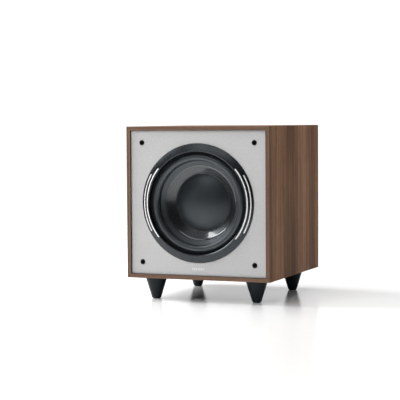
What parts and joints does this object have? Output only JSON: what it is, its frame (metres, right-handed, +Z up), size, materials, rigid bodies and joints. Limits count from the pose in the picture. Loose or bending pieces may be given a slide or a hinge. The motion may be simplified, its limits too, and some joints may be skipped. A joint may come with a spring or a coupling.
{
  "type": "subwoofer",
  "caption": "Cube subwoofer in a wooden wrap cabinet on cone feet, with a silver front, a round driver in a black trim ring and a plate amplifier at the back.",
  "frame": {"origin": "middle of the object's footprint on the surface that the feet stand on", "axes": "+X to the right as seen from the front, +Y from the front to the back, +Z up; the driver faces -Y"},
  "size_m": [0.3, 0.328, 0.345],
  "materials": {
    "walnut": "satin walnut veneer, open grain",
    "baffle_paint": "fine silver paint on MDF",
    "mdf": "raw fibreboard",
    "rear_paint": "matt black paint on fibreboard",
    "wadding": "loose polyester wadding",
    "foot_plastic": "satin black moulded",
    "pad_rubber": "matt rubber",
    "zinc_steel": "zinc plated",
    "trim_plastic": "fine textured, satin",
    "accent_white": "pale satin inlay",
    "basket_steel": "black powder coat",
    "foam": "closed cell foam",
    "surround_rubber": "satin butyl rubber",
    "cone_gloss": "glossy lacquered fibre cone",
    "cap_matte": "matt domed cap",
    "former_paper": "brown coil former",
    "copper": "enamelled copper wire",
    "spider_cloth": "resin treated woven cloth",
    "ferrite": "dark sintered ferrite",
    "terminal_brass": "tinned brass tabs on a fibre strip",
    "wire_insulation": "soft PVC insulation",
    "port_plastic": "satin black moulded",
    "amp_black": "fine black powder coat",
    "heatsink_black": "black anodised, extruded",
    "cover_steel": "galvanised sheet",
    "circuit_board": "green solder mask",
    "capacitor_sleeve": "shrink sleeve",
    "transformer_tape": "yellow tape over a wound core",
    "knob_plastic": "satin black, fluted",
    "shaft_steel": "turned steel",
    "switch_plastic": "moulded body",
    "lever_plastic": "moulded lever",
    "rocker_plastic": "glossy black rocker",
    "inlet_plastic": "moulded black housing",
    "nickel": "nickel plated",
    "fuse_glass": "glass tube",
    "jack_gold": "gold plated",
    "led_lens": "tinted lens"
  },
  "bodies": {
    "cabinet": {"left_side": "walnut", "right_side": "walnut", "top_panel": "walnut", "bottom_panel": "walnut", "front_baffle": "baffle_paint", "rear_panel": "rear_paint", "window_brace": "mdf", "damping_wadding": "wadding", "grille_sockets": "pad_rubber", "front_left_foot": "foot_plastic", "front_right_foot": "foot_plastic", "rear_left_foot": "foot_plastic", "rear_right_foot": "foot_plastic", "foot_pads": "pad_rubber", "foot_studs": "zinc_steel", "tee_nuts": "zinc_steel", "trim_ring": "trim_plastic", "accent_arcs": "accent_white", "basket": "basket_steel", "basket_gasket": "foam", "driver_screws": "zinc_steel", "surround": "surround_rubber", "spider": "spider_cloth", "top_plate": "zinc_steel", "magnet": "ferrite", "pole_yoke": "zinc_steel", "terminal_strip": "terminal_brass", "tinsel_leads": "copper", "speaker_wires": "wire_insulation", "port_tube": "port_plastic", "amp_plate": "amp_black", "amp_gasket": "foam", "amp_screws": "zinc_steel", "heatsink": "heatsink_black", "amp_cover": "cover_steel", "main_board": "circuit_board", "filter_capacitors": "capacitor_sleeve", "transformer": "transformer_tape", "control_board": "circuit_board", "potentiometers": "shaft_steel", "switch_bodies": "switch_plastic", "rocker_housing": "inlet_plastic", "mains_inlet": "inlet_plastic", "inlet_pins": "nickel", "line_jacks": "jack_gold", "status_led": "led_lens"},
    "cone_assembly": {"cone": "cone_gloss", "dust_cap": "cap_matte", "coil_former": "former_paper", "voice_coil": "copper"},
    "volume_control": {"volume_shaft": "shaft_steel", "volume_knob": "knob_plastic"},
    "crossover_control": {"crossover_shaft": "shaft_steel", "crossover_knob": "knob_plastic"},
    "phase_slider": {"phase_lever": "lever_plastic"},
    "standby_slider": {"standby_lever": "lever_plastic"},
    "rocker": {"power_rocker": "rocker_plastic"},
    "fuse_carrier": {"fuse_drawer": "inlet_plastic", "fuse": "fuse_glass"}
  },
  "joints": [
    {"name": "cone_excursion", "type": "slide", "parent": "cabinet", "child": "cone_assembly", "axis": [0, -1, 0], "range_m": [-0.008, 0.008], "stiffness_N_per_m": 2000, "deforming": ["surround", "spider", "tinsel_leads"]},
    {"name": "volume_turn", "type": "hinge", "parent": "cabinet", "child": "volume_control", "pos_m": [0.062, 0.14705, 0.279], "axis": [0, 1, 0], "range_deg": [-150, 150]},
    {"name": "crossover_turn", "type": "hinge", "parent": "cabinet", "child": "crossover_control", "pos_m": [0.024, 0.14705, 0.279], "axis": [0, 1, 0], "range_deg": [-150, 150]},
    {"name": "phase_slide", "type": "slide", "parent": "cabinet", "child": "phase_slider", "axis": [-1, 0, 0], "range_m": [0, 0.005]},
    {"name": "standby_slide", "type": "slide", "parent": "cabinet", "child": "standby_slider", "axis": [-1, 0, 0], "range_m": [-0.0025, 0.0025]},
    {"name": "rocker_tip", "type": "hinge", "parent": "cabinet", "child": "rocker", "pos_m": [0.045, 0.14405, 0.113], "axis": [-1, 0, 0], "range_deg": [0, 20]},
    {"name": "fuse_drawer_slide", "type": "slide", "parent": "cabinet", "child": "fuse_carrier", "axis": [0, 1, 0], "range_m": [0, 0.016]}
  ]
}
